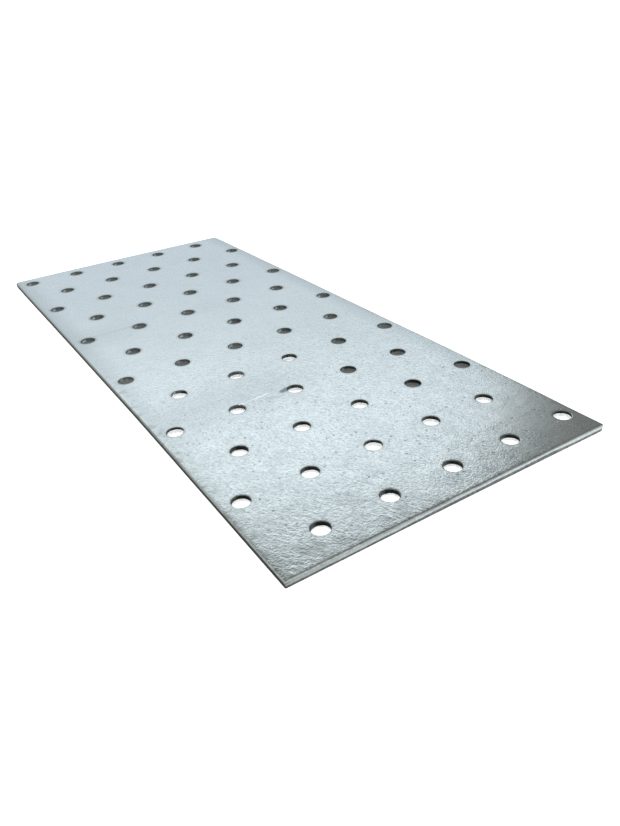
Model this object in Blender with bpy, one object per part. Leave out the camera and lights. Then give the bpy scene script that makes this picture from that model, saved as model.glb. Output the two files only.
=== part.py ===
"""Perforated nail plate: one flat blank of zinc-coated steel sheet with staggered rows of round nail holes.

Metres, +Z up. +Y runs along the plate, +X across it, and the origin is the middle of the underside, so the
plate lies on Z = 0 and its upper face is at Z = THICKNESS.
"""

import math

import bmesh
import bpy

# Driving dimensions, in metres
WIDTH = 0.1000  # slit width of the strip, along X
LENGTH = 0.2366  # cropped length, along Y
THICKNESS = 0.0020  # sheet gauge

PITCH = 0.0200  # hole to hole, along a row and from row to row
STAGGER = PITCH / 2  # every second row is moved over by half a pitch
ROWS = 12
HOLES_PER_ROW = 5
HOLE_DIAMETER = 0.0050
SIDE_MARGIN = 0.0155  # left edge to the first hole's centre, in the rows that aren't moved over
END_MARGIN = 0.00995  # front edge to the first row's centres; the far end is cropped closer

HOLE_SIDES = 24
WELD = 0.00001

# The finish: matt bluish-grey zinc over steel
ZINC_COLOUR = (0.60, 0.64, 0.66, 1.0)
ZINC_METALLIC = 0.9
ZINC_ROUGHNESS = 0.42


def clear_scene():
    for obj in list(bpy.data.objects):
        bpy.data.objects.remove(obj, do_unlink=True)


def new_collection(name):
    collection = bpy.data.collections.new(name)
    bpy.context.scene.collection.children.link(collection)
    return collection


def zinc_material():
    material = bpy.data.materials.new("galvanised_steel")
    material.use_nodes = True
    shader = material.node_tree.nodes["Principled BSDF"]
    shader.inputs["Base Color"].default_value = ZINC_COLOUR
    shader.inputs["Metallic"].default_value = ZINC_METALLIC
    shader.inputs["Roughness"].default_value = ZINC_ROUGHNESS
    return material


def hole_centres():
    """Centres of the nail holes, row by row from the front edge."""
    centres = []
    for row in range(ROWS):
        y = -LENGTH / 2 + END_MARGIN + row * PITCH
        first = -WIDTH / 2 + SIDE_MARGIN - (STAGGER if row % 2 else 0.0)
        for k in range(HOLES_PER_ROW):
            centres.append((first + k * PITCH, y))
    return centres


def closed_spline(curve, points):
    spline = curve.splines.new("POLY")
    spline.points.add(len(points) - 1)
    for point, (x, y) in zip(spline.points, points):
        point.co = (x, y, 0.0, 1.0)
    spline.use_cyclic_u = True


def blank_outline():
    """The plate's outline and its holes as one flat curve, thickened about its own plane."""
    curve = bpy.data.curves.new("plate_outline", "CURVE")
    curve.dimensions = "2D"
    curve.fill_mode = "BOTH"
    curve.extrude = THICKNESS / 2

    x, y = WIDTH / 2, LENGTH / 2
    closed_spline(curve, [(-x, -y), (x, -y), (x, y), (-x, y)])

    radius = HOLE_DIAMETER / 2
    for cx, cy in hole_centres():
        ring = []
        for k in range(HOLE_SIDES):
            angle = 2 * math.pi * (k + 0.5) / HOLE_SIDES
            ring.append((cx + radius * math.cos(angle), cy + radius * math.sin(angle)))
        closed_spline(curve, ring)
    return curve


def make_plate(collection):
    guide = bpy.data.objects.new("plate_outline", blank_outline())
    guide.location = (0.0, 0.0, THICKNESS / 2)
    collection.objects.link(guide)
    bpy.context.view_layer.update()

    depsgraph = bpy.context.evaluated_depsgraph_get()
    mesh = bpy.data.meshes.new_from_object(guide.evaluated_get(depsgraph))
    mesh.name = "perforated_plate"

    shape = bmesh.new()
    shape.from_mesh(mesh)
    bmesh.ops.remove_doubles(shape, verts=shape.verts, dist=WELD)
    bmesh.ops.recalc_face_normals(shape, faces=shape.faces)
    shape.to_mesh(mesh)
    shape.free()

    mesh.shade_smooth()
    mesh.set_sharp_from_angle(angle=math.radians(35))
    mesh.materials.clear()
    mesh.materials.append(zinc_material())

    plate = bpy.data.objects.new("perforated_plate", mesh)
    plate.matrix_world = guide.matrix_world
    collection.objects.link(plate)
    bpy.data.objects.remove(guide, do_unlink=True)
    return plate


def main():
    clear_scene()
    make_plate(new_collection("nail_plate"))


main()
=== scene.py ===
"""Looks of the perforated nail plate: the sheet as it really is, sheared, punched and slightly bowed, in worn
galvanised zinc, on a plain white studio floor."""

import math

import bmesh
import bpy
import numpy as np
from mathutils import Euler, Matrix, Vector
from mathutils.geometry import delaunay_2d_cdt


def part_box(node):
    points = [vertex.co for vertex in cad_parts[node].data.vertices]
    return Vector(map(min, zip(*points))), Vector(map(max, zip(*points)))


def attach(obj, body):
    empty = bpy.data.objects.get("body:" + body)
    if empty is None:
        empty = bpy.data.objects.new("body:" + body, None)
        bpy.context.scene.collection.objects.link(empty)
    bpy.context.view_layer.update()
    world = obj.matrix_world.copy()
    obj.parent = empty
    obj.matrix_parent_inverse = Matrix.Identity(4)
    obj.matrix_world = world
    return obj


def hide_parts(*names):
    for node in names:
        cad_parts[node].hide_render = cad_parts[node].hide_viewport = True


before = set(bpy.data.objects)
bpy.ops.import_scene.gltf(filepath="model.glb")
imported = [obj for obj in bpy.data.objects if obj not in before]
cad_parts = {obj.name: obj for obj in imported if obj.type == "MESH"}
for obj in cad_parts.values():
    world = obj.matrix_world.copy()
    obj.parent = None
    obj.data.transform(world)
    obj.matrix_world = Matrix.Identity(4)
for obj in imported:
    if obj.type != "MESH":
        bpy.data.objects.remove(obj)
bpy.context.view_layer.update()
MM = 0.001

# ---------------------------------------------------------------- sizes, in mm, read from the CAD box where it has them
LO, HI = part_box("perforated_plate")
WIDTH, LENGTH, GAUGE = [(HI[i] - LO[i]) / MM for i in range(3)]
CX, CY = (LO[0] + HI[0]) / 2 / MM, (LO[1] + HI[1]) / 2 / MM
PITCH, ROWS, PER_ROW = 20.0, 12, 5
FIRST_X, FIRST_Y = CX - WIDTH / 2 + 15.5, CY - LENGTH / 2 + 9.95
HOLE_R = 2.5
SHADE_FROM = (FIRST_Y + 90.0, FIRST_Y + 33.0)  # the sheet shades the floor beyond these, left and right
LIFT = 0.25  # the bowed sheet stands on its corners, so its mid plane is this much above the CAD plate's

HOLES = np.array(
    [
        (FIRST_X + PITCH * i - (PITCH / 2 if j % 2 else 0), FIRST_Y + PITCH * j)
        for j in range(ROWS)
        for i in range(PER_ROW)
    ]
)


# ---------------------------------------------------------------- the sheet's shape
def bow(x, y):
    """How far the sheet stands off flat, in mm. It comes out of the press in strokes of four rows, each nearly
    flat, with a soft crease where two strokes meet, and it is a little crowned and twisted."""
    row = (np.asarray(y, float) - FIRST_Y) / PITCH
    knots = np.array([-0.5, 3.12, 7.1, 11.35])
    lift = np.array([0.0, 0.43, 0.39, 0.0])
    fine = np.linspace(-3, 14, 1361)
    line = np.interp(fine, knots, lift)
    line[fine < knots[0]] = (fine[fine < knots[0]] - knots[0]) * 0.1188
    line[fine > knots[-1]] = -(fine[fine > knots[-1]] - knots[-1]) * 0.0918
    k = np.exp(-0.5 * (np.arange(-24, 25) * 0.0125 / 0.07) ** 2)
    line = np.convolve(np.pad(line, 24, mode="edge"), k / k.sum(), mode="valid")
    xn = (np.asarray(x, float) - CX + 0.5) / 49.0
    yn = (np.asarray(y, float) - CY + 0.85) / 117.5
    return np.interp(row, fine, line) + 0.1465 * (1 - xn**2) - 0.2461 * xn * yn + LIFT


# (outwards from the hole's wall or inwards from the sheet's edge, below the top face, zone)
# zones: 0 coated face and rolled-over rim, 1 burnished land, 2 fracture
HOLE_PROFILE = [
    (0.34, 0.000, 0),
    (0.24, 0.003, 0),
    (0.165, 0.010, 0),
    (0.105, 0.023, 0),
    (0.058, 0.043, 0),
    (0.025, 0.070, 0),
    (0.006, 0.100, 0),
    (0.00, 0.135, 1),
    (0.00, 0.650, 1),
    (0.00, 1.080, 2),
    (0.025, 1.160, 2),
    (0.060, 1.440, 2),
    (0.100, 1.780, 2),
    (0.125, 1.950, 2),
    (0.180, 2.000, 0),
]
EDGE_PROFILE = [
    (1.25, 0.000, 0),
    (0.95, 0.006, 0),
    (0.70, 0.020, 0),
    (0.50, 0.050, 0),
    (0.33, 0.098, 0),
    (0.19, 0.165, 0),
    (0.09, 0.245, 0),
    (0.03, 0.330, 0),
    (0.00, 0.430, 1),
    (0.00, 0.800, 1),
    (0.00, 0.920, 2),
    (0.030, 1.020, 2),
    (0.070, 1.600, 2),
    (0.110, 1.880, 2),
    (0.160, 1.970, 2),
    (0.240, 2.000, 0),
]
HOLE_SEGMENTS = 72
CORNER_SEGMENTS = 8


# how much each edge rolls over, front, right, back and left: the strip was slit with its left edge drawn down
SIDE_ROLL = (0.82, 0.30, 0.25, 1.20)
CORNER_R = (0.55, 0.80, 0.95, 0.16)  # right front, right back, left back, left front


def outline(k):
    """Ring k of the edge profile round the sheet: points in order, how far each lies below the top face, and how
    much it counts as front, right, back and left edge."""
    step, drop, _ = EDGE_PROFILE[k]
    rolled = 0 < k < 9
    inset = [step * (s if rolled else 1.0) for s in SIDE_ROLL]
    low = [drop * (s if rolled else 1.0) for s in SIDE_ROLL]
    x0, x1 = -WIDTH / 2 + inset[3], WIDTH / 2 - inset[1]
    y0, y1 = -LENGTH / 2 + inset[0], LENGTH / 2 - inset[2]
    pts, drops, share = [], [], []
    for q, (sx, sy) in enumerate(((1, 0), (1, 1), (0, 1), (0, 0))):
        before, after = q, (q + 1) % 4  # the corner joins these two sides
        r = CORNER_R[q] + 0.5 * (inset[before] + inset[after])
        cx = (x1 - r) if sx else (x0 + r)
        cy = (y1 - r) if sy else (y0 + r)
        a0 = -math.pi / 2 + q * math.pi / 2
        for c in range(CORNER_SEGMENTS + 1):
            f = c / CORNER_SEGMENTS
            a = a0 + math.pi / 2 * f
            pts.append((cx + r * math.cos(a), cy + r * math.sin(a)))
            g = f * f * (3 - 2 * f)
            drops.append(low[before] * (1 - g) + low[after] * g)
            w = [0.0] * 4
            w[before], w[after] = 1 - g, g
            share.append(w)
        nq = (q + 1) % 4
        nsx, nsy = ((1, 0), (1, 1), (0, 1), (0, 0))[nq]
        nr = CORNER_R[nq] + 0.5 * (inset[nq] + inset[(nq + 1) % 4])
        a = a0 + math.pi / 2
        end = ((x1 - nr if nsx else x0 + nr) + nr * math.cos(a), (y1 - nr if nsy else y0 + nr) + nr * math.sin(a))
        start = pts[-1]
        n = 190 if q in (0, 2) else 80
        for c in range(1, n):
            f = c / n
            pts.append((start[0] + (end[0] - start[0]) * f, start[1] + (end[1] - start[1]) * f))
            drops.append(low[after])
            w = [0.0] * 4
            w[after] = 1.0
            share.append(w)
    pts = np.array(pts)
    # the strip wasn't slit dead straight, nor cropped dead square
    t = pts[:, 1] + LENGTH / 2
    left = np.interp(t, (2, 40, 90, 150, 180, 210, 236), (0.15, 0.05, -0.08, 0.16, 0.26, 0.42, 0.44))
    right = np.interp(t, (0, 12, 22, 60, 92, 150, 210, 236), (0.15, 0.17, 0.33, 0.33, 0.02, -0.10, -0.18, -0.38))
    u = pts[:, 0] / WIDTH + 0.5
    v = t / LENGTH
    pts = pts + np.stack([right * u - left * (1 - u), 0.30 * v - 0.12 * (1 - v)], 1)
    return pts + (CX, CY), np.array(drops), np.array(share)


def hole_ring(centre, radius, turn=0.0):
    a = 2 * math.pi * np.arange(HOLE_SEGMENTS) / HOLE_SEGMENTS + turn
    return np.stack([centre[0] + radius * np.cos(a), centre[1] + radius * np.sin(a)], 1)


def face_sheet(loop, rings, spacing):
    """Triangles that fill the outline around the rings, with a grid between. Returns points and triangles; the
    loop's points come first, then each ring's."""
    pts = [loop] + rings
    edges, base = [], 0
    for part in pts:
        n = len(part)
        edges += [(base + k, base + (k + 1) % n) for k in range(n)]
        base += n
    fixed = base
    extra = []
    for c, ring in zip(HOLES, rings):
        r0 = np.hypot(*(ring[0] - c))
        for r, n in ((r0 + 0.30, 60), (r0 + 0.75, 44), (r0 + 1.45, 32)):
            a = 2 * math.pi * (np.arange(n) + 0.5) / n
            extra.append(np.stack([c[0] + r * np.cos(a), c[1] + r * np.sin(a)], 1))
    nx, ny = int(WIDTH / spacing), int(LENGTH / spacing)
    gx = CX - WIDTH / 2 + (np.arange(nx) + 0.5) * WIDTH / nx
    gy = CY - LENGTH / 2 + (np.arange(ny) + 0.5) * LENGTH / ny
    grid = np.stack(np.meshgrid(gx, gy), -1).reshape(-1, 2)
    d = np.min(np.hypot(grid[:, None, 0] - HOLES[None, :, 0], grid[:, None, 1] - HOLES[None, :, 1]), 1)
    extra.append(grid[d > HOLE_R + 2.5])
    extra = np.concatenate(extra)
    half = np.array([WIDTH / 2 - 2.2, LENGTH / 2 - 2.2])
    extra = extra[(np.abs(extra - (CX, CY)) < half).all(1)]
    every = np.concatenate(pts + [extra])
    out = delaunay_2d_cdt([Vector(p) for p in every.tolist()], edges, [], 1, 1e-5)
    verts, _, faces, origins = out[0], out[1], out[2], out[3]
    where = [(o[0] if o else -1) for o in origins]
    got = np.array([tuple(v) for v in verts])
    tri = np.array([f for f in faces if len(f) == 3])
    mid = got[tri].mean(1)
    d = np.min(np.hypot(mid[:, None, 0] - HOLES[None, :, 0], mid[:, None, 1] - HOLES[None, :, 1]), 1)
    r0 = np.hypot(*(rings[0][0] - HOLES[0]))
    tri = tri[d > r0]
    return every, np.asarray(where)[tri], fixed


def make_plate():
    rng = np.random.default_rng(20)
    verts, faces, zones, rim, edge = [], [], [], [], []
    count = 0

    def add(points2, drop, rim_d, edge_d):
        nonlocal count
        top = bow(points2[:, 0], points2[:, 1]) + GAUGE
        z = top - drop
        verts.append(np.column_stack([points2, z]))
        rim.append(np.broadcast_to(rim_d, len(points2)).astype(float))
        edge.append(np.broadcast_to(edge_d, len(points2)).astype(float))
        count += len(points2)
        return count - len(points2)

    def distances(p):
        d = np.min(np.hypot(p[:, None, 0] - HOLES[None, :, 0], p[:, None, 1] - HOLES[None, :, 1]), 1) - HOLE_R
        e = np.minimum(WIDTH / 2 - np.abs(p[:, 0] - CX), LENGTH / 2 - np.abs(p[:, 1] - CY))
        return d, e

    # each hole is punched a little differently: its rim rolls over more or less, and its land is longer or shorter
    rim_scale = 1 + 0.18 * rng.standard_normal(len(HOLES)).clip(-1.6, 1.6)
    land = 1 + 0.13 * rng.standard_normal(len(HOLES)).clip(-1.8, 1.8)
    lean = rng.uniform(0, 2 * math.pi, len(HOLES))

    def hole_loop(h, k):
        out, drop, _ = HOLE_PROFILE[k]
        a = 2 * math.pi * np.arange(HOLE_SEGMENTS) / HOLE_SEGMENTS
        # the fracture is ragged and leans to one side, as the punch was never quite central in its die
        ragged = np.zeros(HOLE_SEGMENTS)
        d = np.full(HOLE_SEGMENTS, drop)
        if 8 <= k <= 12:
            wave = np.interp(a, np.linspace(0, 2 * math.pi, 19), np.append(jag[h], jag[h][0]))
            ragged = (0.012 if k >= 10 else 0.0) * wave * (1 if k < 13 else 0)
            if k in (9, 10):
                d = drop * land[h] + 0.09 * np.cos(a - lean[h]) + 0.035 * wave
        if 0 < k < 7:
            out = out * rim_scale[h]
            d = d * (0.6 + 0.4 * rim_scale[h])
        r = HOLE_R + out + ragged
        c = HOLES[h]
        return np.stack([c[0] + r * np.cos(a), c[1] + r * np.sin(a)], 1), d

    jag = rng.standard_normal((len(HOLES), 18))

    # the top and the underside
    top_loop, _, share = outline(0)
    rings = [hole_loop(h, 0)[0] for h in range(len(HOLES))]
    pts, tri, fixed = face_sheet(top_loop, rings, 2.2)
    d, e = distances(pts)
    base = add(pts, 0.0, d, e)
    faces += (tri + base).tolist()
    zones += [0] * len(tri)
    top_index = base + np.arange(fixed)

    under_loop, _, _ = outline(len(EDGE_PROFILE) - 1)
    under_rings = [hole_loop(h, len(HOLE_PROFILE) - 1)[0] for h in range(len(HOLES))]
    pts, tri, fixed = face_sheet(under_loop, under_rings, 3.0)
    d, e = distances(pts)
    base = add(pts, GAUGE, d, e)
    faces += (tri[:, ::-1] + base).tolist()
    zones += [0] * len(tri)
    under_index = base + np.arange(fixed)

    def wall(indices, zone_of, flip):
        for k in range(len(indices) - 1):
            a, b = indices[k], indices[k + 1]
            n = len(a)
            nxt = np.roll(np.arange(n), -1)
            quad = np.stack([a, b, b[nxt], a[nxt]], 1) if not flip else np.stack([a, a[nxt], b[nxt], b], 1)
            faces.extend(quad.tolist())
            zones.extend(zone_of(k, n))

    # the sheared edges
    n_loop = len(top_loop)
    idx = [top_index[:n_loop]]
    along = np.concatenate([[0], np.cumsum(np.hypot(*np.diff(top_loop, axis=0).T))])
    wave = np.interp(along, np.linspace(0, along[-1] + 1, 181), rng.standard_normal(181))
    wave2 = np.interp(along, np.linspace(0, along[-1] + 1, 61), rng.standard_normal(61))
    for k in range(1, len(EDGE_PROFILE) - 1):
        p, dd, _ = outline(k)
        if k in (10, 11):
            dd = dd + 0.055 * wave + 0.06 * wave2
            dd = dd + 0.36 * share[:, 0] * np.clip((CX + 5.0 - p[:, 0]) / 50.0, 0, 1)
        if 0 < k < 8:
            dd = dd * (1 + 0.05 * wave2)
        i0 = add(p, dd, 5.0, EDGE_PROFILE[k][0])
        idx.append(i0 + np.arange(n_loop))
    idx.append(under_index[:n_loop])

    def edge_zone(k, n):
        z = EDGE_PROFILE[k][2]
        if z == 0:
            return [0] * n
        long_side = share[:, 1] + share[:, 3] > 0.5
        return [(5 if z == 1 else 6) if s else (1 if z == 1 else 2) for s in long_side]

    wall(idx, edge_zone, False)

    # the holes
    for h in range(len(HOLES)):
        s0 = n_loop + h * HOLE_SEGMENTS
        idx = [top_index[s0 : s0 + HOLE_SEGMENTS]]
        for k in range(1, len(HOLE_PROFILE) - 1):
            p, dd = hole_loop(h, k)
            i0 = add(p, dd, HOLE_PROFILE[k][0] if k < 7 else 0.0, 5.0)
            idx.append(i0 + np.arange(HOLE_SEGMENTS))
        idx.append(under_index[s0 : s0 + HOLE_SEGMENTS])
        wall(idx, lambda k, n: [(0, 3, 4)[HOLE_PROFILE[k][2]]] * n, True)

    co = np.concatenate(verts)
    mesh = bpy.data.meshes.new("nail_plate_sheet")
    mesh.from_pydata((co * MM).tolist(), [], faces)
    mesh.validate()
    mesh.polygons.foreach_set("material_index", np.array(zones, np.int32))
    for name, value in (("rim_mm", np.concatenate(rim)), ("edge_mm", np.concatenate(edge))):
        a = mesh.attributes.new(name, "FLOAT", "POINT")
        a.data.foreach_set("value", value.astype(np.float32))

    bm = bmesh.new()
    bm.from_mesh(mesh)
    loose = [v for v in bm.verts if not v.link_faces]
    bmesh.ops.delete(bm, geom=loose, context="VERTS")
    bmesh.ops.recalc_face_normals(bm, faces=bm.faces)
    open_edges = sum(1 for e in bm.edges if len(e.link_faces) != 2)
    if open_edges:
        raise RuntimeError(f"the sheet is open along {open_edges} edges")
    bm.to_mesh(mesh)
    bm.free()
    mesh.shade_smooth()
    mesh.set_sharp_from_angle(angle=math.radians(38))
    obj = bpy.data.objects.new("nail_plate_sheet", mesh)
    bpy.context.scene.collection.objects.link(obj)
    return obj


# ---------------------------------------------------------------- materials
class Nodes:
    """A short way to write node trees."""

    def __init__(self, name):
        self.material = bpy.data.materials.new(name)
        self.material.use_nodes = True
        self.tree = self.material.node_tree
        self.shader = self.tree.nodes["Principled BSDF"]
        self.object = self.new("ShaderNodeTexCoord").outputs["Object"]
        self.mm = self.vec("SCALE", self.object, scale=1000.0)

    def new(self, kind, **settings):
        node = self.tree.nodes.new(kind)
        for k, v in settings.items():
            setattr(node, k, v)
        return node

    def put(self, socket, value):
        if isinstance(value, bpy.types.NodeSocket):
            self.tree.links.new(value, socket)
        else:
            socket.default_value = value

    def math(self, op, a, b=0.0, c=0.0, clamp=False):
        n = self.new("ShaderNodeMath", operation=op, use_clamp=clamp)
        for s, v in zip(n.inputs, (a, b, c)):
            self.put(s, v)
        return n.outputs[0]

    def add(self, a, b):
        return self.math("ADD", a, b)

    def mul(self, a, b):
        return self.math("MULTIPLY", a, b)

    def vec(self, op, a, b=None, scale=None):
        n = self.new("ShaderNodeVectorMath", operation=op)
        self.put(n.inputs[0], a)
        if b is not None:
            self.put(n.inputs[1], b)
        if scale is not None:
            self.put(n.inputs["Scale"], scale)
        return n.outputs["Value"] if op in ("LENGTH", "DISTANCE", "DOT_PRODUCT") else n.outputs[0]

    def turned(self, vector, degrees, scale):
        n = self.new("ShaderNodeMapping", vector_type="TEXTURE")
        self.put(n.inputs["Vector"], vector)
        n.inputs["Rotation"].default_value = (0, 0, math.radians(degrees))
        n.inputs["Scale"].default_value = scale
        return n.outputs[0]

    def noise(self, vector, scale, detail=2.0, rough=0.5, distortion=0.0):
        n = self.new("ShaderNodeTexNoise", noise_dimensions="3D")
        self.put(n.inputs["Vector"], vector)
        n.inputs["Scale"].default_value = scale
        n.inputs["Detail"].default_value = detail
        n.inputs["Roughness"].default_value = rough
        n.inputs["Distortion"].default_value = distortion
        return n.outputs["Fac"]

    def cells(self, vector, scale, randomness=1.0):
        n = self.new("ShaderNodeTexVoronoi", voronoi_dimensions="3D", feature="F1")
        self.put(n.inputs["Vector"], vector)
        n.inputs["Scale"].default_value = scale
        n.inputs["Randomness"].default_value = randomness
        return n.outputs["Distance"], n.outputs["Color"]

    def ramp(self, value, lo, hi, out_lo=0.0, out_hi=1.0, smooth=True):
        n = self.new("ShaderNodeMapRange", interpolation_type="SMOOTHSTEP" if smooth else "LINEAR")
        self.put(n.inputs["Value"], value)
        for s, v in zip(("From Min", "From Max", "To Min", "To Max"), (lo, hi, out_lo, out_hi)):
            n.inputs[s].default_value = v
        return n.outputs["Result"]

    def attribute(self, name):
        return self.new("ShaderNodeAttribute", attribute_name=name).outputs["Fac"]

    def mix(self, fac, a, b):
        n = self.new("ShaderNodeMix", data_type="RGBA", blend_type="MIX")
        self.put(n.inputs[0], fac)
        self.put(n.inputs[6], a)
        self.put(n.inputs[7], b)
        return n.outputs[2]

    def split(self, vector):
        n = self.new("ShaderNodeSeparateXYZ")
        self.put(n.inputs[0], vector)
        return n.outputs

    def stroke(self, a, b, width, soft=1.0):
        """1 along the line from a to b (mm, on the sheet), falling to 0 at width from it."""
        a, b = Vector((*a, 0)), Vector((*b, 0))
        d = b - a
        flat = self.vec("MULTIPLY", self.mm, (1, 1, 0))
        rel = self.vec("SUBTRACT", flat, a)
        t = self.math("DIVIDE", self.vec("DOT_PRODUCT", rel, d), d.length_squared, clamp=True)
        foot = self.vec("SCALE", tuple(d), scale=t)
        away = self.vec("DISTANCE", rel, foot)
        return self.ramp(away, width * (1 - soft), width, 1.0, 0.0)

    def bump(self, height, distance, normal=None, strength=1.0):
        n = self.new("ShaderNodeBump")
        n.inputs["Strength"].default_value = strength
        n.inputs["Distance"].default_value = distance
        self.put(n.inputs["Height"], height)
        if normal is not None:
            self.put(n.inputs["Normal"], normal)
        return n.outputs[0]


def lattice(i, j, dx=0.0, dy=0.0):
    """A place on the sheet counted in hole pitches from the first hole of the first row, in mm."""
    return (FIRST_X + PITCH * i + dx, FIRST_Y + PITCH * j + dy)


def zinc_face():
    n = Nodes("galvanised_steel")
    x, y, z = n.split(n.mm)
    flat = n.vec("MULTIPLY", n.mm, (1, 1, 0))
    # the coating is crisp and marked over the first rows, and calmer towards the far end and in the right corner
    near = n.ramp(y, FIRST_Y + 45, FIRST_Y + 140, 1.0, 0.16)
    front = n.ramp(y, FIRST_Y - 12, FIRST_Y + 24, 1.0, 0.0)
    calm = n.ramp(n.vec("DISTANCE", flat, (*lattice(4.35, -0.35), 0.0)), 14.0, 47.0, 0.10, 1.0)

    fine = n.noise(n.mm, 1.9, 2.0, 0.5)
    grain = n.noise(n.turned(n.mm, -62.0, (1.25, 0.8, 1.0)), 1.15, 2.0, 0.55, 0.3)
    streak = n.noise(n.turned(n.mm, -60.0, (1.7, 0.85, 1.0)), 1.0, 2.0, 0.5, 0.4)
    ripple = n.noise(n.turned(n.mm, -64.0, (4.2, 1.5, 1.0)), 1.0, 1.0, 0.4, 1.2)
    dapple = n.noise(n.mm, 0.55, 2.0, 0.5, 0.4)
    mottle = n.noise(n.mm, 0.24, 2.0, 0.5)
    cloud = n.noise(n.mm, 0.045, 2.0, 0.5)
    where_marked = n.ramp(n.noise(n.mm, 0.12, 1.0, 0.5), 0.36, 0.62, 0.35, 1.0)
    where_rubbed = n.ramp(n.noise(n.mm, 0.085, 1.0, 0.5), 0.42, 0.60)
    smudge = n.ramp(n.noise(n.turned(n.mm, -60.0, (1.5, 1.0, 1.0)), 0.21, 3.0, 0.6), 0.46, 0.64)
    fleck_d, fleck_c = n.cells(n.turned(n.mm, -64.0, (2.7, 0.85, 1.0)), 0.62)
    flecks = n.mul(n.ramp(fleck_d, 0.10, 0.34, 1.0, 0.0), n.ramp(n.split(fleck_c)[2], 0.45, 0.85))

    # dark pin specks and a few larger blotches, where the zinc has dulled
    speck_d, speck_c = n.cells(n.mm, 0.50)
    specks = n.mul(n.ramp(speck_d, 0.09, 0.26, 1.0, 0.0), n.ramp(n.split(speck_c)[0], 0.40, 0.80))
    pin_d, pin_c = n.cells(n.turned(n.mm, -60.0, (1.5, 0.9, 1.0)), 0.95)
    pins = n.mul(n.ramp(pin_d, 0.14, 0.36, 1.0, 0.0), n.ramp(n.split(pin_c)[0], 0.35, 0.75))
    blot_d, blot_c = n.cells(n.turned(n.mm, -60.0, (1.6, 1.0, 1.0)), 0.11)
    blots = n.mul(n.ramp(blot_d, 0.03, 0.17, 1.0, 0.0), n.ramp(n.split(blot_c)[1], 0.62, 0.9))

    rim = n.attribute("rim_mm")
    edge = n.attribute("edge_mm")
    far = n.ramp(y, FIRST_Y + 60, FIRST_Y + 170, 0.0, 1.0)
    halo = n.ramp(n.mul(rim, n.ramp(far, 0.0, 1.0, 1.0, 0.68, smooth=False)), 0.0, 1.25, 1.0, 0.0)
    ring = n.ramp(rim, 0.0, 0.75, 1.0, 0.0)
    lip = n.ramp(rim, 0.02, 0.26, 1.0, 0.0)
    wear = n.ramp(edge, 0.0, 1.6, 1.0, 0.0)
    back_edge = n.mul(n.ramp(edge, 0.2, 1.5, 1.0, 0.0), far)
    # darker towards the slit edges, less so over the first rows, and dirt has caught along them
    side_gap = n.math("SUBTRACT", WIDTH / 2, n.math("ABSOLUTE", n.math("SUBTRACT", x, CX)))
    side_darkening = n.mul(n.ramp(side_gap, 0.0, 9.0, 1.0, 0.0), n.ramp(y, FIRST_Y + 10, FIRST_Y + 60, 0.25, 1.0))
    dirt = n.noise(n.mm, 0.35, 3.0, 0.6)
    grime = n.mul(n.ramp(n.math("ADD", side_gap, n.mul(x, 0.02)), 0.3, 4.2, 1.0, 0.0), n.mul(n.ramp(dirt, 0.50, 0.66), n.ramp(y, FIRST_Y + 85, FIRST_Y + 130, 1.0, 0.0)))

    # marks of this one plate: a smear beside a hole and a few scratches, with painted light and shade: a painted
    # highlight along the near tool crease, painted shade along the far one, patches of painted shade and a painted
    # glint near the front edge
    broken = n.ramp(n.noise(n.mm, 0.55, 1.0, 0.5), 0.40, 0.56, 0.15, 1.0)
    # painted highlight along the near crease, broken up by noise, and a fainter painted highlight beside it
    painted_crease_highlight = n.mul(n.stroke(lattice(0.58, 3.10), lattice(1.18, 3.13), 0.42), broken)
    painted_crease_highlight2 = n.stroke(lattice(0.05, 3.085), lattice(0.60, 3.10), 0.30)
    smear = n.stroke(lattice(1.30, 3.045), lattice(1.41, 3.075), 1.5, 0.7)
    smear2 = n.stroke(lattice(1.02, 2.99), lattice(1.24, 2.93), 1.3)
    # painted shade along the far crease
    painted_crease_shade = n.stroke(lattice(-0.7, 7.09), lattice(0.5, 7.09), 1.1)
    # broad patches of painted shade
    painted_shade_patch = n.stroke(lattice(-0.35, 3.25), lattice(1.15, 3.30), 21.0)
    painted_shade_patch2 = n.stroke(lattice(-0.60, 7.0), lattice(0.15, 7.0), 15.0)
    painted_shade_patch3 = n.stroke(lattice(2.0, 7.0), lattice(2.1, 7.0), 12.0)
    scratch = n.stroke(lattice(3.35, 1.55), lattice(3.55, 0.92), 0.26)
    scratch2 = n.stroke(lattice(3.22, 2.3), lattice(3.30, 1.72), 0.22)
    scratch3 = n.stroke(lattice(3.32, -0.28), lattice(3.62, -0.36), 0.26)
    # a painted glint near the front edge
    painted_glint = n.stroke(lattice(2.93, -0.17), lattice(2.97, -0.17), 0.30)

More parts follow.
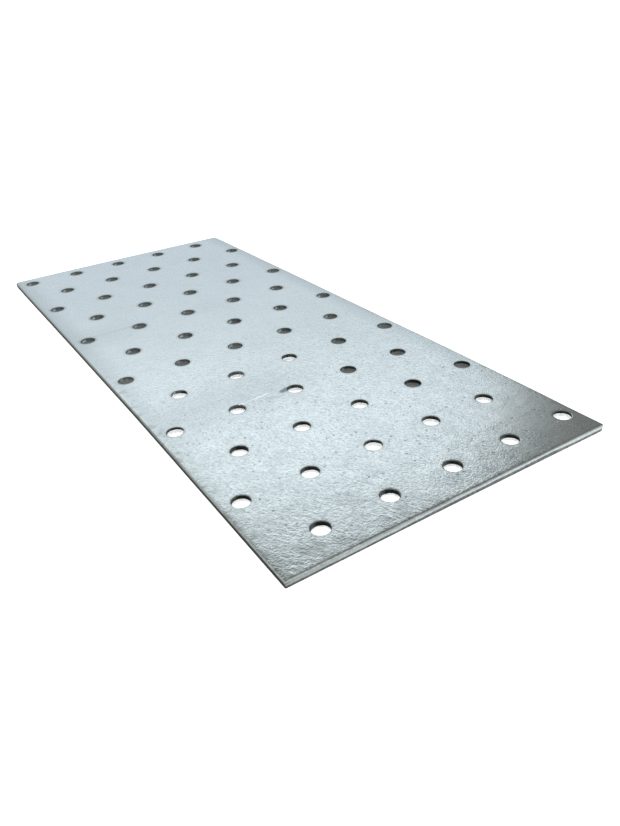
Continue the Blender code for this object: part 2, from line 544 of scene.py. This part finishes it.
    light = (0.80, 0.815, 0.82, 1.0)
    col = n.mix(n.mul(n.ramp(mottle, 0.35, 0.70), 0.30), light, (0.68, 0.70, 0.71, 1.0))
    col = n.mix(n.mul(n.ramp(cloud, 0.40, 0.68), 0.25), col, (0.70, 0.715, 0.715, 1.0))
    col = n.mix(n.mul(n.mul(n.mul(n.ramp(streak, 0.42, 0.72), near), calm), 0.34), col, (0.50, 0.53, 0.545, 1.0))
    col = n.mix(n.mul(n.mul(n.mul(n.ramp(grain, 0.42, 0.64), near), calm), 0.50), col, (0.50, 0.53, 0.545, 1.0))
    col = n.mix(n.mul(n.mul(n.mul(specks, near), where_marked), 0.72), col, (0.34, 0.365, 0.38, 1.0))
    col = n.mix(n.mul(n.mul(n.mul(pins, near), where_marked), 0.58), col, (0.38, 0.405, 0.42, 1.0))
    col = n.mix(n.mul(n.mul(blots, near), 0.28), col, (0.42, 0.45, 0.46, 1.0))
    col = n.mix(n.mul(n.mul(n.mul(smudge, front), calm), 0.52), col, (0.40, 0.425, 0.43, 1.0))
    col = n.mix(n.mul(n.mul(n.mul(flecks, front), calm), 0.60), col, (0.98, 0.985, 0.98, 1.0))
    # patches of painted shade
    col = n.mix(n.mul(painted_shade_patch, 0.48), col, (0.50, 0.515, 0.52, 1.0))
    col = n.mix(n.mul(painted_shade_patch2, 0.22), col, (0.50, 0.515, 0.52, 1.0))
    col = n.mix(n.mul(painted_shade_patch3, 0.12), col, (0.50, 0.515, 0.52, 1.0))
    col = n.mix(n.mul(side_darkening, 0.54), col, (0.50, 0.525, 0.525, 1.0))
    col = n.mix(n.mul(halo, n.ramp(far, 0.0, 1.0, 0.26, 0.62, smooth=False)), col, (0.38, 0.40, 0.395, 1.0))
    col = n.mix(n.mul(ring, n.ramp(far, 0.0, 1.0, 0.16, 0.55, smooth=False)), col, (0.15, 0.165, 0.17, 1.0))
    col = n.mix(n.mul(back_edge, 0.45), col, (0.40, 0.41, 0.41, 1.0))
    col = n.mix(n.mul(lip, 0.60), col, (0.10, 0.11, 0.115, 1.0))
    col = n.mix(n.mul(grime, 0.52), col, (0.33, 0.34, 0.335, 1.0))
    col = n.mix(n.mul(smear, 0.85), col, (0.16, 0.17, 0.175, 1.0))
    col = n.mix(n.mul(smear2, 0.34), col, (0.42, 0.47, 0.42, 1.0))
    # painted shade along the far crease
    col = n.mix(n.mul(painted_crease_shade, 0.20), col, (0.40, 0.42, 0.44, 1.0))
    col = n.mix(n.mul(scratch, 0.34), col, (0.30, 0.32, 0.33, 1.0))
    col = n.mix(n.mul(scratch2, 0.22), col, (0.34, 0.36, 0.37, 1.0))
    col = n.mix(n.mul(scratch3, 0.30), col, (0.98, 0.98, 0.97, 1.0))
    # painted highlight along the near crease
    col = n.mix(painted_crease_highlight, col, (1.0, 1.0, 1.0, 1.0))
    col = n.mix(n.mul(n.mul(painted_crease_highlight2, broken), 0.6), col, (1.0, 1.0, 1.0, 1.0))
    # painted glint near the front edge
    col = n.mix(painted_glint, col, (1.0, 1.0, 0.97, 1.0))
    n.put(n.shader.inputs["Base Color"], col)

    rough = n.add(n.ramp(mottle, 0.3, 0.7, 0.215, 0.245), n.ramp(fine, 0.3, 0.7, -0.03, 0.03))
    rough = n.add(rough, n.mul(specks, 0.12))
    rough = n.add(rough, n.mul(wear, -0.02))
    n.put(n.shader.inputs["Roughness"], rough)
    n.shader.inputs["Metallic"].default_value = 1.0

    relief = n.mul(n.ramp(fine, 0.2, 0.8, smooth=False), 0.60)
    relief = n.add(relief, n.mul(n.ramp(streak, 0.2, 0.8, smooth=False), 0.36))
    relief = n.add(relief, n.mul(n.ramp(ripple, 0.2, 0.8, smooth=False), n.mul(n.mul(front, 0.85), where_rubbed)))
    relief = n.add(relief, n.mul(dapple, n.add(0.30, n.mul(front, 0.35))))
    relief = n.mul(n.mul(relief, near), calm)
    relief = n.add(relief, n.mul(mottle, 0.7))
    relief = n.add(relief, n.mul(n.mul(specks, near), -0.25))
    n.put(n.shader.inputs["Normal"], n.bump(relief, 0.000050))
    return n.material


def cut_metal(name, base, dark, rough, grain, depth, metallic=1.0):
    """Bare or smeared metal on a cut: drag lines run through the sheet's thickness."""
    n = Nodes(name)
    drag = n.noise(n.vec("MULTIPLY", n.mm, (grain, grain, 0.7)), 1.0, 3.0, 0.6)
    spot = n.noise(n.mm, 1.1, 2.0, 0.6)
    col = n.mix(n.ramp(n.add(n.mul(drag, 0.6), n.mul(spot, 0.4)), 0.38, 0.62), base, dark)
    n.put(n.shader.inputs["Base Color"], col)
    n.put(n.shader.inputs["Roughness"], n.ramp(drag, 0.3, 0.7, rough - 0.06, rough + 0.08))
    n.shader.inputs["Metallic"].default_value = metallic
    n.put(n.shader.inputs["Normal"], n.bump(drag, depth))
    return n.material


def hole_wall(name, base, base_dark, far_base, far_dark, metallic, follows_floor_shade):
    """One band of a hole's wall, its colour carrying painted light and shade. Over the first rows the land is painted
    dark and glossy for the shaded floor it reflects, and the fracture a clean near white for the lit floor below; in
    the other rows both are a much alike grey, which on the fracture is painted shade for the floor the sheet shades."""
    n = Nodes(name)
    x, y, z = n.split(n.mm)
    drag = n.noise(n.vec("MULTIPLY", n.mm, (3.4, 3.4, 0.7)), 1.0, 3.0, 0.6)
    pick = n.noise(n.vec("MULTIPLY", n.mm, (0.11, 0.11, 0.0)), 1.0, 0.0, 0.5)
    # the fracture's painted shade starts where the sheet shades the floor, beyond SHADE_FROM
    if follows_floor_shade:
        turn = n.ramp(x, FIRST_X + 43, FIRST_X + 48, SHADE_FROM[0], SHADE_FROM[1])
        painted_light_far_rows = n.ramp(n.math("SUBTRACT", y, turn), -5.0, 5.0)
    else:
        painted_light_far_rows = n.ramp(n.add(y, n.ramp(pick, 0.3, 0.7, -24.0, 24.0)), FIRST_Y + 58, FIRST_Y + 112)
    uneven = n.ramp(drag, 0.36, 0.66)
    n.put(n.shader.inputs["Base Color"], n.mix(painted_light_far_rows, n.mix(uneven, base, base_dark), n.mix(uneven, far_base, far_dark)))
    n.shader.inputs["Roughness"].default_value = 0.36 if metallic else 0.7
    n.shader.inputs["Metallic"].default_value = metallic
    n.put(n.shader.inputs["Normal"], n.bump(drag, 0.000010))
    return n.material


def white_stage(name, level):
    m = bpy.data.materials.new(name)
    m.use_nodes = True
    s = m.node_tree.nodes["Principled BSDF"]
    s.inputs["Base Color"].default_value = (0.9, 0.9, 0.9, 1)
    s.inputs["Roughness"].default_value = 0.9
    s.inputs["Emission Color"].default_value = (1, 1, 1, 1)
    s.inputs["Emission Strength"].default_value = level
    m.cycles.emission_sampling = "NONE"
    return m


# ---------------------------------------------------------------- the piece
plate = make_plate()
for m in (
    zinc_face(),
    cut_metal("cropped_land", (0.72, 0.74, 0.75, 1), (0.55, 0.57, 0.58, 1), 0.30, 3.2, 0.000006),
    cut_metal("cropped_fracture", (0.30, 0.315, 0.32, 1), (0.15, 0.155, 0.16, 1), 0.50, 4.0, 0.000020),
    # the hole walls' colours paint light and shade: the land dark for the shade it reflects, the fracture near white
    # where the floor below is lit and grey where the sheet shades it
    hole_wall("hole_land", (0.070, 0.075, 0.076, 1), (0.032, 0.035, 0.036, 1), (0.46, 0.48, 0.49, 1), (0.26, 0.275, 0.28, 1), 1.0, False),
    hole_wall("hole_fracture", (0.98, 0.985, 0.99, 1), (0.72, 0.73, 0.75, 1), (0.43, 0.44, 0.445, 1), (0.27, 0.275, 0.28, 1), 0.0, True),
    cut_metal("slit_land", (0.34, 0.35, 0.355, 1), (0.22, 0.225, 0.23, 1), 0.40, 2.4, 0.000008),
    cut_metal("slit_fracture", (0.22, 0.225, 0.23, 1), (0.12, 0.125, 0.13, 1), 0.55, 3.4, 0.000018),
):
    plate.data.materials.append(m)
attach(plate, "root")
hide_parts("perforated_plate")


# ---------------------------------------------------------------- the stage: a white floor and a white surround
bpy.ops.mesh.primitive_circle_add(vertices=96, radius=3.0, fill_type="NGON", location=(0, 0, -0.0002))
floor = bpy.context.object
floor.name = "studio_floor"
floor.data.materials.append(white_stage("floor_white", 0.92))
bpy.ops.mesh.primitive_uv_sphere_add(segments=64, ring_count=32, radius=3.0, location=(0, 0, 0))
surround = bpy.context.object
surround.name = "studio_surround"
surround.data.materials.append(white_stage("surround_white", 1.0))

# the shade on the floor under the sheet, with a pool of light under each hole of the first rows
x_turn = FIRST_X + 45.5
x0, x1 = CX - WIDTH / 2 + 2.0, CX + WIDTH / 2 - 0.6
y0, y1 = CY - LENGTH / 2 + 1.3, CY + LENGTH / 2 - 0.6
pools = np.array([h for h in HOLES if h[1] < SHADE_FROM[0 if h[0] < x_turn else 1]])
loops = [np.array([(x0, y0), (x1, y0), (x1, y1), (x0, y1)])] + [hole_ring(h, 4.2)[::2] for h in pools]
shade_edges, k = [], 0
for loop in loops:
    shade_edges += [(k + c, k + (c + 1) % len(loop)) for c in range(len(loop))]
    k += len(loop)
cut = delaunay_2d_cdt([Vector(p) for p in np.concatenate(loops).tolist()], shade_edges, [], 1, 1e-5)
shade_points = np.array([tuple(v) for v in cut[0]])
shade_faces = np.array([f for f in cut[2] if len(f) == 3])
middle = shade_points[shade_faces].mean(1)
to_pool = np.hypot(middle[:, None, 0] - pools[None, :, 0], middle[:, None, 1] - pools[None, :, 1]).min(1)
shade_faces = shade_faces[to_pool > 4.17].tolist()
shade_points = [(px * MM, py * MM, -0.0001) for px, py in shade_points.tolist()]
shade_mesh = bpy.data.meshes.new("floor_shade")
shade_mesh.from_pydata(shade_points, [], shade_faces)
floor_shade = bpy.data.objects.new("floor_shade", shade_mesh)
bpy.context.scene.collection.objects.link(floor_shade)
shade_mesh.materials.append(white_stage("floor_grey", 0.10))
shade_mesh.materials[0].node_tree.nodes["Principled BSDF"].inputs["Base Color"].default_value = (0.25, 0.25, 0.25, 1)

for o in (floor, surround, floor_shade):
    o.visible_glossy = False
    o.visible_shadow = False
surround.visible_diffuse = False


# ---------------------------------------------------------------- light
def direction(azimuth, elevation):
    """Azimuth 0 is along +Y and 90 along +X."""
    a, e = math.radians(azimuth), math.radians(elevation)
    return Vector((math.sin(a) * math.cos(e), math.cos(a) * math.cos(e), math.sin(e)))


world = bpy.data.worlds.new("studio")
bpy.context.scene.world = world
world.use_nodes = True
wt = world.node_tree
wt.nodes.clear()


def wnode(kind, **settings):
    node = wt.nodes.new(kind)
    for k, v in settings.items():
        setattr(node, k, v)
    return node


def wmath(op, a, b=0.0):
    node = wnode("ShaderNodeMath", operation=op)
    for s, v in zip(node.inputs, (a, b)):
        if isinstance(v, bpy.types.NodeSocket):
            wt.links.new(v, s)
        else:
            s.default_value = v
    return node.outputs[0]


where = wnode("ShaderNodeTexCoord").outputs["Generated"]
axes = wnode("ShaderNodeSeparateXYZ")
wt.links.new(where, axes.inputs[0])
azimuth = wmath("MULTIPLY", wmath("ARCTAN2", axes.outputs[0], axes.outputs[1]), 180 / math.pi)
elevation = wmath("MULTIPLY", wmath("ARCSINE", axes.outputs[2]), 180 / math.pi)


def wramp(value, lo, hi, out_lo=0.0, out_hi=1.0):
    r = wnode("ShaderNodeMapRange", interpolation_type="SMOOTHSTEP")
    wt.links.new(value, r.inputs["Value"])
    for s, v in zip(("From Min", "From Max", "To Min", "To Max"), (lo, hi, out_lo, out_hi)):
        r.inputs[s].default_value = v
    return r.outputs["Result"]


def wcolour(fac, a, b):
    m = wnode("ShaderNodeMix", data_type="RGBA")
    wt.links.new(fac, m.inputs[0])
    for s, v in ((m.inputs[6], a), (m.inputs[7], b)):
        if isinstance(v, bpy.types.NodeSocket):
            wt.links.new(v, s)
        else:
            s.default_value = (*v, 1.0)
    return m.outputs[2]


def lobe(azim, elev, inner, outer):
    """1 within inner degrees of a direction, falling smoothly to 0 at outer."""
    dot = wnode("ShaderNodeVectorMath", operation="DOT_PRODUCT")
    wt.links.new(where, dot.inputs[0])
    dot.inputs[1].default_value = direction(azim, elev)
    return wramp(dot.outputs["Value"], math.cos(math.radians(outer)), math.cos(math.radians(inner)))


# the window light: a broad cool panel beyond the far end, cut off on the right and above, hottest near its top
shade = wnode("ShaderNodeValToRGB")
shade.color_ramp.interpolation = "LINEAR"
stops = ((-8, 0.0), (0, 0.40), (9, 0.60), (17, 0.65), (24, 0.65), (28, 0.94), (33, 1.44), (36, 1.46), (40, 0.82), (44, 0.27), (49, 0.0))
while len(shade.color_ramp.elements) < len(stops):
    shade.color_ramp.elements.new(0.5)
for e, (at, value) in zip(shade.color_ramp.elements, stops):
    e.position = (at + 10) / 60
    e.color = (value / 2, value / 2, value / 2, 1.0)
wt.links.new(wmath("DIVIDE", wmath("ADD", elevation, 10.0), 60.0), shade.inputs["Fac"])
right_side = wramp(wmath("ADD", azimuth, wmath("MULTIPLY", elevation, 0.2)), 56.0, 53.0)
right_top = wramp(wmath("ADD", azimuth, wmath("MULTIPLY", elevation, 1.7)), 112.0, 108.0)
panel = wmath("MULTIPLY", wmath("MULTIPLY", right_side, right_top), wramp(azimuth, -26.0, 0.0))
strength = wmath("MULTIPLY", wmath("MULTIPLY", shade.outputs["Color"], 2.0), panel)
cool = wcolour(wramp(elevation, 10.0, 38.0), (0.74, 0.87, 1.0), (0.85, 0.955, 1.0))
window = wnode("ShaderNodeVectorMath", operation="SCALE")
wt.links.new(cool, window.inputs[0])
wt.links.new(strength, window.inputs["Scale"])

# the room: dim and neutral, paler behind the camera, and the bench catches the light low on the right
level = wmath("ADD", 0.170, wmath("MULTIPLY", lobe(215, 35, 10, 75), 0.42))
level = wmath("ADD", level, wmath("MULTIPLY", lobe(180, 80, 8, 46), 0.24))
level = wmath("ADD", level, wmath("MULTIPLY", lobe(-42, 18, 8, 40), 0.22))
level = wmath("ADD", level, wmath("MULTIPLY", lobe(74, 30, 6, 36), 0.02))
level = wmath("ADD", level, wmath("MULTIPLY", lobe(132, 24, 14, 52), 0.40))
level = wmath("ADD", level, wmath("MULTIPLY", lobe(-78, 28, 14, 56), 0.30))
room = wnode("ShaderNodeVectorMath", operation="SCALE")
room.inputs[0].default_value = (0.95, 1.0, 0.93)
wt.links.new(level, room.inputs["Scale"])
total = wnode("ShaderNodeVectorMath", operation="ADD")
wt.links.new(window.outputs[0], total.inputs[0])
wt.links.new(room.outputs[0], total.inputs[1])
bench = wnode("ShaderNodeVectorMath", operation="SCALE")
bench.inputs[0].default_value = (0.90, 0.975, 1.0)
wt.links.new(wmath("MULTIPLY", lobe(119, -28, 14, 43), 0.98), bench.inputs["Scale"])
sum_of = wnode("ShaderNodeVectorMath", operation="ADD")
wt.links.new(total.outputs[0], sum_of.inputs[0])
wt.links.new(bench.outputs[0], sum_of.inputs[1])
back = wnode("ShaderNodeBackground")
wt.links.new(sum_of.outputs[0], back.inputs["Color"])
out = wnode("ShaderNodeOutputWorld")
wt.links.new(back.outputs[0], out.inputs["Surface"])

bpy.context.scene.view_settings.view_transform = "Standard"
bpy.context.scene.view_settings.look = "None"

# ---------------------------------------------------------------- camera
camera = bpy.data.cameras.new("camera")
camera.sensor_width = 36.0
camera.lens = 725.14 * 36.0 / 826.0
camera.clip_start, camera.clip_end = 0.005, 50.0
cam = bpy.data.objects.new("camera", camera)
cam.location = Vector((-100.55 + CX, -219.86 + CY, 107.93 + LIFT)) * MM
cam.rotation_euler = Euler([math.radians(a) for a in (59.71541, 3.64467, -32.5498)], "XYZ")
bpy.context.scene.collection.objects.link(cam)
bpy.context.scene.camera = cam
